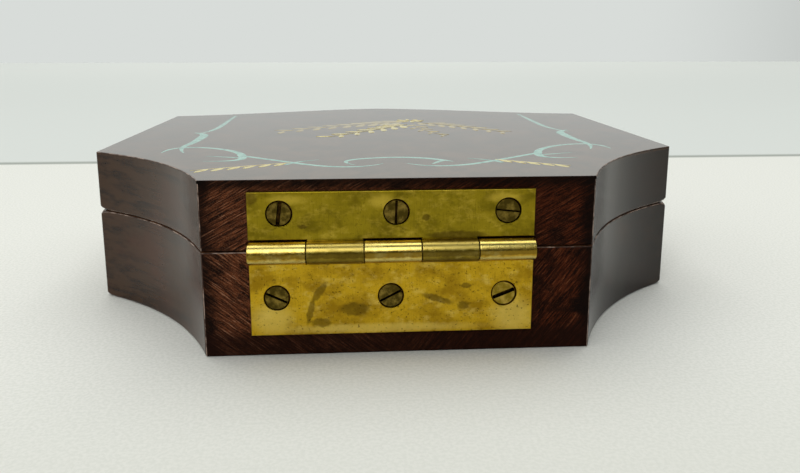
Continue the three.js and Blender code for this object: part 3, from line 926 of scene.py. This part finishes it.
class PUZZLEBOX_OT_screws(bpy.types.Operator):
    """Builds the slotted screws of the hinge and of the latch's keeper"""
    bl_idname = "puzzlebox.screws"
    bl_label = "Screws"

    def execute(self, context):
        draw = random.Random(7)
        for name in BASE_SCREWS + LID_SCREWS:
            tilt = Euler((math.radians(90 + draw.uniform(-2, 2)), 0, math.radians(draw.uniform(-2, 2))))
            centre, size = middle(name), high(name) - low(name)
            place = Matrix.Translation((centre.x, LEAF_FACE + SCREW_SINK, centre.z))
            head = "rubbed_screw" if name == "base_screw_right" else "screw"
            self.screw(name, HEAD_RADIUS, size.y, place @ tilt.to_matrix().to_4x4(),
                       "lid" if name in LID_SCREWS else "base", head)
        for name in ("keeper_screw_left", "keeper_screw_right"):
            centre, size = middle(name), high(name) - low(name)
            place = Matrix.Translation((centre.x, centre.y, low(name).z))
            self.screw(name, KEEPER_HEAD_RADIUS, size.z, place @ Matrix.Rotation(math.pi, 4, "X"), "lid",
                       "screw")
        return {"FINISHED"}

    def screw(self, name, radius, length, place, body, head):
        """One screw, its head's face set at a place."""
        bm = screw_mesh(name, radius, length)
        bmesh.ops.transform(bm, verts=bm.verts, matrix=place)
        finished(f"{name}_turned", bm, body, "screw_brass", [head, "grime"], name)


class PUZZLEBOX_OT_latch(bpy.types.Operator):
    """Finishes the hidden latch: its slide, its pin and its keeper"""
    bl_idname = "puzzlebox.latch"
    bl_label = "Latch"

    def execute(self, context):
        dressed("latch_slide", "board")
        dressed("keeper_plate", "upper_brass")
        bottom, top = low("latch_pin").z, high("latch_pin").z
        centre = middle("latch_pin")
        shank, head = 1.1 * MM, high("latch_pin").x - centre.x
        bm = bmesh.new()
        section = [(0, bottom), (shank, bottom), (shank, top - 1.3 * MM),
                   (head - 0.1 * MM, top - 1.3 * MM), (head, top - 1.2 * MM), (head, top - 0.55 * MM),
                   (head - 0.25 * MM, top - 0.22 * MM), (head - 0.7 * MM, top - 0.03 * MM), (0, top)]
        verts = [bm.verts.new((centre.x + r, centre.y, z)) for r, z in section]
        edges = [bm.edges.new(pair) for pair in zip(verts, verts[1:])]
        bmesh.ops.spin(bm, geom=edges, cent=centre, axis=(0, 0, 1), angle=2 * math.pi, steps=40,
                       use_merge=True)
        bmesh.ops.remove_doubles(bm, verts=bm.verts, dist=HAIR)
        bmesh.ops.recalc_face_normals(bm, faces=bm.faces)
        finished("latch_pin_turned", bm, "latch", "brass", ["pin"], "latch_pin")
        return {"FINISHED"}


# ------------ operators: the inlay

# At least as many strips as are laid before these sets, so that they start above what they cross
BEFORE_SPRIGS = 20
BEFORE_BRIGHT_LEAVES = 45


def strip_mesh(strokes, below=0):
    """Flat tapered strips let into the top. A stroke is a list of (x, y, half width) in millimetres.

    Each strip stands a thousandth higher than the one before, so that they can cross."""
    bm = bmesh.new()
    for order, stroke in enumerate(strokes, below):
        curve = bpy.data.curves.new("stroke", "CURVE")
        curve.dimensions = "3D"
        curve.bevel_depth = 1 * MM
        curve.bevel_resolution = 3
        curve.resolution_u = 8
        curve.use_fill_caps = True
        spline = curve.splines.new("NURBS")
        spline.points.add(len(stroke) - 1)
        spline.use_endpoint_u = True
        spline.order_u = min(4, len(stroke))
        for point, (x, y, half_width) in zip(spline.points, stroke):
            point.co = (x * MM, y * MM, 0, 1)
            point.radius = half_width
        holder = bpy.data.objects.new("stroke", curve)
        mesh = holder.to_mesh()
        crest = bpy.context.scene.puzzle_box_sizes.inlay_rise + order * STRIP_STEP
        for vert in mesh.vertices:
            vert.co.z = TOP + max(-0.1 * MM, min(crest, vert.co.z))
        bm.from_mesh(mesh)
        bpy.data.objects.remove(holder)
        bpy.data.curves.remove(curve)
    bmesh.ops.recalc_face_normals(bm, faces=bm.faces)
    return bm


def inlaid(name, strokes, key, below=0):
    """A set of strips of one wood, riding on the lid."""
    finished(name, strip_mesh(strokes, below), "lid", "inlay", [key])


# Half of the scroll border, right of the middle: each stroke's (x, y, half width) in millimetres.
SCROLL_MAIN = [(2.3, -48, 0.08), (5, -51.4, 0.4), (12, -52, 0.65), (19, -46.6, 0.6), (25, -41.6, 0.5),
               (31.4, -36.4, 0.6)]
SCROLL_LOOP = [(48.2, -32.2, 0.08), (48.6, -24.6, 0.55), (41, -23.2, 0.6), (32.6, -31, 0.6),
               (30.6, -36.4, 1.0), (29.2, -44.2, 0.7), (37.4, -43.2, 0.08)]
SCROLL_LICK = [(30.4, -39.6, 0.4), (34, -38.2, 0.35), (38, -37, 0.06)]
STEM_LOW = [(48.4, 1.2, 0.1), (44.6, -1.4, 1.1), (44.8, -9, 1.15), (44.6, -18, 0.7), (46.4, -26, 0.6),
            (43.4, -32.6, 0.08)]
STEM_HIGH = [(44.4, 42, 0.3), (44.4, 26, 0.6), (43.8, 12, 0.75), (45, 2, 0.45), (48, -2, 0.08)]
SCROLL_BRANCH = [(21, -48.2, 0.45), (18.6, -44.2, 0.4), (14.8, -43, 0.06)]
CENTRE_C = [(-7.6, -49.4, 0.08), (-12, -44.6, 0.5), (-3.6, -40.2, 0.6), (5.6, -41, 0.65),
            (9.6, -44.4, 0.8), (11.6, -46.6, 0.08)]
CENTRE_HOOK = [(10.2, -44.6, 0.6), (8.4, -46.6, 0.5), (7, -49.4, 0.08)]


def sprig(start, bend, end, leaves, size):
    """A curved row of slanted leaf strokes, larger at the start, on both sides of a thin stem."""
    strokes = [[(*start, 0.1), (*bend, 0.16), (*end, 0.05)]]
    start, bend, end = Vector(start), Vector(bend), Vector(end)
    for i in range(leaves):
        t = (i + 0.6) / leaves
        root = start.lerp(bend, t).lerp(bend.lerp(end, t), t)
        heading = ((bend - start).lerp(end - bend, t)).normalized()
        side = Vector((-heading.y, heading.x)) * (1 if i % 2 else -1)
        length = size * (1 - 0.4 * t)
        tip = root + heading * (length * 0.75) + side * (length * 0.66)
        belly = root.lerp(tip, 0.5) + side * (length * 0.12)
        strokes.append([(*root, 0.12), (*belly, 0.31 * length), (*tip, 0.08)])
    return strokes


class PUZZLEBOX_OT_border(bpy.types.Operator):
    """Lays the blue scroll border into the top"""
    bl_idname = "puzzlebox.border"
    bl_label = "Scroll border"

    def execute(self, context):
        half = [SCROLL_MAIN, SCROLL_LOOP, SCROLL_LICK, STEM_LOW, STEM_HIGH, SCROLL_BRANCH]
        other_half = [[(-x, y, width) for x, y, width in stroke] for stroke in half]
        for name, strokes in (("inlay_scrolls_right", half), ("inlay_scrolls_left", other_half),
                              ("inlay_centre_scroll", [CENTRE_C, CENTRE_HOOK])):
            inlaid(name, strokes, "blue")
        return {"FINISHED"}


class PUZZLEBOX_OT_sprigs(bpy.types.Operator):
    """Lays the cream leaf sprigs and the central spray into the top"""
    bl_idname = "puzzlebox.sprigs"
    bl_label = "Leaf sprigs"

    def execute(self, context):
        right = self.leaf_row((33, -52.6), (20.2, -44.6), 5)
        left = self.leaf_row((-37.6, -53.4), (-20.2, -46), 6)
        inlaid("inlay_sprig_right", right, "cream", BEFORE_SPRIGS)
        inlaid("inlay_sprig_left", left, "cream", BEFORE_SPRIGS)
        spray = sprig((8, 22), (-6, 18), (-27, 2), 18, 7.5) + sprig((10, 20), (20, 13), (31, -3), 15, 6.5)
        spray += sprig((9, 16), (9, 4), (15, -9), 9, 4.5)
        inlaid("inlay_centre_spray", spray, "tan")
        bright = sprig((7, 16), (0, 6), (-14, -9), 13, 6.5)
        bright += [self.petal((8.5, 25), math.radians(angle)) for angle in range(10, 370, 45)]
        inlaid("inlay_centre_bright", bright, "cream", BEFORE_BRIGHT_LEAVES)
        return {"FINISHED"}

    def petal(self, centre, angle):
        """One petal of the small flower where the sprays meet."""
        reach = Vector((math.cos(angle), math.sin(angle)))
        places = [Vector(centre) + reach * distance for distance in (0.7, 2.6, 4.2)]
        return [(*place, half_width) for place, half_width in zip(places, (0.1, 1.0, 0.08))]

    def leaf_row(self, outer, inner, count):
        """A stem from near a corner of the hinge face inwards, with leaves on its hinge side."""
        outer, inner = Vector(outer), Vector(inner)
        out = math.copysign(1, outer.x)
        strokes = [[(*outer, 0.08), (*outer.lerp(inner, 0.5), 0.3), (*inner, 0.16)]]
        for i in range(count):
            root = outer.lerp(inner, (i + 1.1) / (count + 0.4))
            tip = root + Vector((1.9 * out, -3.3))
            strokes.append([(*root, 0.12), (*root.lerp(tip, 0.5), 1.15), (*tip, 0.1)])
        return strokes


# ------------ the stage

class PUZZLEBOX_OT_stage(bpy.types.Operator):
    """Sets the pale floor, the soft studio light and the camera"""
    bl_idname = "puzzlebox.stage"
    bl_label = "Stage"

    def execute(self, context):
        scene = context.scene
        scene.view_settings.view_transform = "Standard"
        scene.view_settings.look = "None"
        self.floor()
        self.sky(scene)
        self.softbox("overhead", (0, 0.6, 2.35), 2.4, 2.4, 32)
        self.softbox("behind_camera", (-0.5, -1.8, 1.5), 1.7, 1.4, 21)
        self.camera(scene)
        return {"FINISHED"}

    def floor(self):
        """A white cloth, with a painted shadow line where it ends behind the box and a pale board beyond.
        """
        bm = bmesh.new()
        bmesh.ops.create_grid(bm, x_segments=4, y_segments=4, size=1.6)
        mesh = bpy.data.meshes.new("floor")
        bm.to_mesh(mesh)
        bm.free()
        material, tree = new_tree("cotton_cloth_white")
        weave = figure(tree, (0.6, 0.6, 0.6), detail=3)
        away = coordinate(tree, "Y")
        base = layered(
            tree, "#dbdcd6",
            ("#e6e6e1", weave, 0.35, 0.65),
            # painted shadow: a dark line along the cloth's far edge
            ("#8f958f", away, 0.143, 0.147, 0.85),
            ("#d2d6d3", away, 0.148, 0.154),
            # painted light: the far floor made paler, making up for the lamps' falloff
            ("#eef1ee", away, 0.4, 2.0),
            # painted shade: the strip towards the camera dimmed, as if in its shadow
            ("#cfd0c9", away, -0.05, -0.14, 0.8))
        mesh.materials.append(surfaced(material, base, Roughness=0.9, Specular_IOR_Level=0.2))
        floor = bpy.data.objects.new("floor", mesh)
        bpy.context.collection.objects.link(floor)

    def sky(self, scene):
        """A pale room: dim behind the camera and to the right, brighter to the left and high ahead."""
        world = bpy.data.worlds.new("studio")
        world.use_nodes = True
        tree = world.node_tree
        tree.nodes.clear()
        heading = add_node(tree, "ShaderNodeTexCoord", out="Generated")
        aside, ahead, above = [add_node(tree, "ShaderNodeSeparateXYZ", {0: heading}, out=axis)
                               for axis in "XYZ"]
        glow = add_node(tree, "ShaderNodeMath", {0: ahead, 1: above}, operation="MULTIPLY")
        sky = layered(
            tree, "#5a5e5a",
            ("#d8dcd9", ahead, -0.4, 0.5),
            ("#f0f2ec", aside, -0.4, -1.0),
            ("#3c403c", aside, 0.35, 1.0, 0.85),
            ("#f4f6ef", glow, 0.12, 0.2))
        light = add_node(tree, "ShaderNodeBackground", {"Color": sky, "Strength": 1.0})
        add_node(tree, "ShaderNodeOutputWorld", {"Surface": light})
        scene.world = world

    def softbox(self, name, place, width, height, power):
        """A soft rectangular light, facing the box."""
        light = bpy.data.lights.new(name, "AREA")
        light.shape = "RECTANGLE"
        light.size = width
        light.size_y = height
        light.energy = power
        lamp = bpy.data.objects.new(name, light)
        lamp.location = place
        lamp.rotation_euler = (-Vector(place)).to_track_quat("-Z", "Y").to_euler()
        bpy.context.collection.objects.link(lamp)

    def camera(self, scene):
        """Close behind the hinge, a little to its left and above, looking slightly down."""
        lens = bpy.data.cameras.new("camera")
        lens.lens = 32.25
        lens.sensor_width = 36
        lens.shift_y = -0.07
        lens.clip_start = 0.01
        camera = bpy.data.objects.new("camera", lens)
        camera.location = (-0.00775, -0.18372, 0.05543)
        turned, tipped = 0.0642, 0.1947  # radians, to the right and down
        forward = Vector((math.sin(turned) * math.cos(tipped), math.cos(turned) * math.cos(tipped),
                          -math.sin(tipped)))
        camera.rotation_mode = "QUATERNION"
        camera.rotation_quaternion = forward.to_track_quat("-Z", "Y")
        bpy.context.collection.objects.link(camera)
        scene.camera = camera


class PUZZLEBOX_PT_panel(bpy.types.Panel):
    """Lists the steps that build the box"""
    bl_label = "Puzzle Box"
    bl_space_type = "VIEW_3D"
    bl_region_type = "UI"
    bl_category = "Puzzle Box"

    def draw(self, context):
        for group in (context.scene.puzzle_box_sizes, context.scene.puzzle_box_colours):
            for name in group.bl_rna.properties.keys():
                if name not in ("rna_type", "name"):
                    self.layout.prop(group, name)
        for step in STEPS:
            self.layout.operator(step.bl_idname)


STEPS = (
    PUZZLEBOX_OT_stage, PUZZLEBOX_OT_base_case, PUZZLEBOX_OT_lid_case, PUZZLEBOX_OT_boards,
    PUZZLEBOX_OT_hinge, PUZZLEBOX_OT_screws, PUZZLEBOX_OT_latch, PUZZLEBOX_OT_border,
    PUZZLEBOX_OT_sprigs,
)
CLASSES = (PuzzleBoxSizes, PuzzleBoxColours, *STEPS, PUZZLEBOX_PT_panel)


def register():
    for item in CLASSES:
        bpy.utils.register_class(item)
    bpy.types.Scene.puzzle_box_sizes = PointerProperty(type=PuzzleBoxSizes)
    bpy.types.Scene.puzzle_box_colours = PointerProperty(type=PuzzleBoxColours)


def unregister():
    del bpy.types.Scene.puzzle_box_colours
    del bpy.types.Scene.puzzle_box_sizes
    for item in reversed(CLASSES):
        bpy.utils.unregister_class(item)


def main():
    register()
    for step in STEPS:
        group, name = step.bl_idname.split(".")
        getattr(getattr(bpy.ops, group), name)()


if __name__ == "__main__":
    main()
